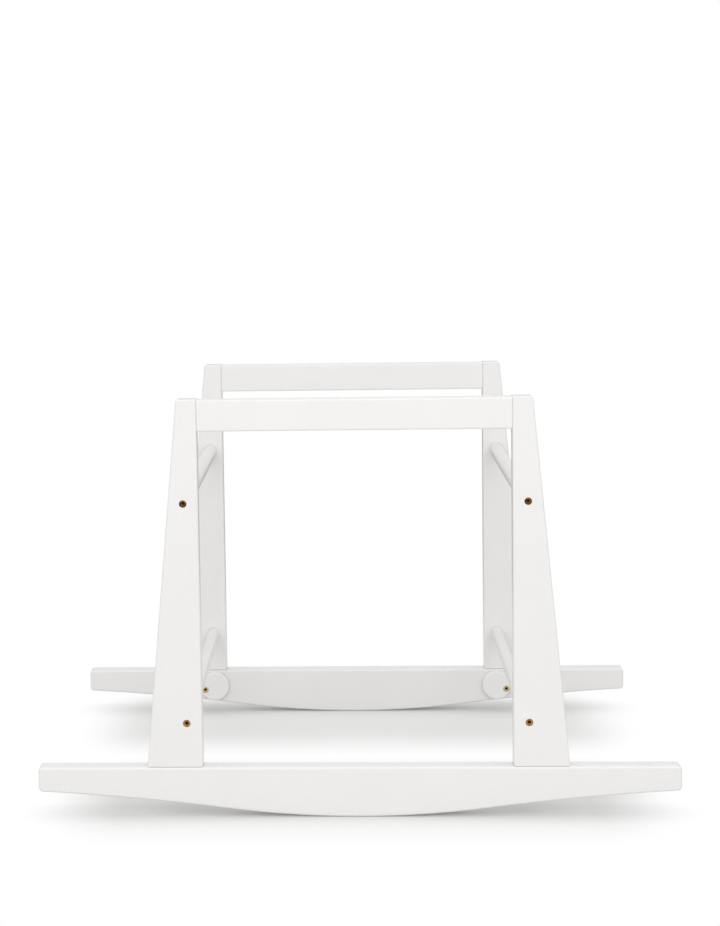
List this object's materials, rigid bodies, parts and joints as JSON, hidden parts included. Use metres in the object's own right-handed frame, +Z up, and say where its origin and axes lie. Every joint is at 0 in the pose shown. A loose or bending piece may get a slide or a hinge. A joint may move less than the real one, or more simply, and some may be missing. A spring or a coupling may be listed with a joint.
{
  "type": "moses basket stand",
  "caption": "White painted wooden rocking stand with tapered legs, top rails, round cross bars to carry a moses basket, and off-centre discs that turn down to stop the rocking.",
  "frame": {"origin": "on the floor, midway between the two side frames and midway along the rockers", "axes": "+X along the rockers, +Y from the front frame to the rear frame, +Z up"},
  "size_m": [0.81, 0.43, 0.532],
  "materials": {
    "white_paint": "satin white paint on sanded solid wood",
    "bronze_bolt": "steel with a yellow bronze zinc plating",
    "zinc": "bright zinc plated steel",
    "dowel_wood": "bare beech, glued"
  },
  "bodies": {
    "stand": {"front_rocker": "white_paint", "rear_rocker": "white_paint", "front_left_leg": "white_paint", "front_right_leg": "white_paint", "rear_left_leg": "white_paint", "rear_right_leg": "white_paint", "front_top_rail": "white_paint", "rear_top_rail": "white_paint", "left_support_bar": "white_paint", "right_support_bar": "white_paint", "left_lower_bar": "white_paint", "right_lower_bar": "white_paint", "front_leg_bolts": "bronze_bolt", "rear_leg_bolts": "bronze_bolt", "front_stop_bolts": "bronze_bolt", "rear_stop_bolts": "bronze_bolt", "support_bar_nuts": "zinc", "lower_bar_nuts": "zinc", "front_stop_washers": "zinc", "rear_stop_washers": "zinc", "front_stop_inserts": "zinc", "rear_stop_inserts": "zinc", "front_foot_dowels": "dowel_wood", "rear_foot_dowels": "dowel_wood", "front_rail_dowels": "dowel_wood", "rear_rail_dowels": "dowel_wood"},
    "front_left_stop": {"front_left_stop": "white_paint"},
    "front_right_stop": {"front_right_stop": "white_paint"},
    "rear_left_stop": {"rear_left_stop": "white_paint"},
    "rear_right_stop": {"rear_right_stop": "white_paint"}
  },
  "joints": [
    {"name": "front_left_stop_turn", "type": "hinge", "parent": "stand", "child": "front_left_stop", "pos_m": [-0.228, -0.1905, 0.0365], "axis": [0, 1, 0], "range_deg": [-237, 93]},
    {"name": "front_right_stop_turn", "type": "hinge", "parent": "stand", "child": "front_right_stop", "pos_m": [0.228, -0.1905, 0.0365], "axis": [0, -1, 0], "range_deg": [-237, 93]},
    {"name": "rear_left_stop_turn", "type": "hinge", "parent": "stand", "child": "rear_left_stop", "pos_m": [-0.228, 0.1905, 0.0365], "axis": [0, 1, 0], "range_deg": [-237, 93]},
    {"name": "rear_right_stop_turn", "type": "hinge", "parent": "stand", "child": "rear_right_stop", "pos_m": [0.228, 0.1905, 0.0365], "axis": [0, -1, 0], "range_deg": [-237, 93]}
  ]
}
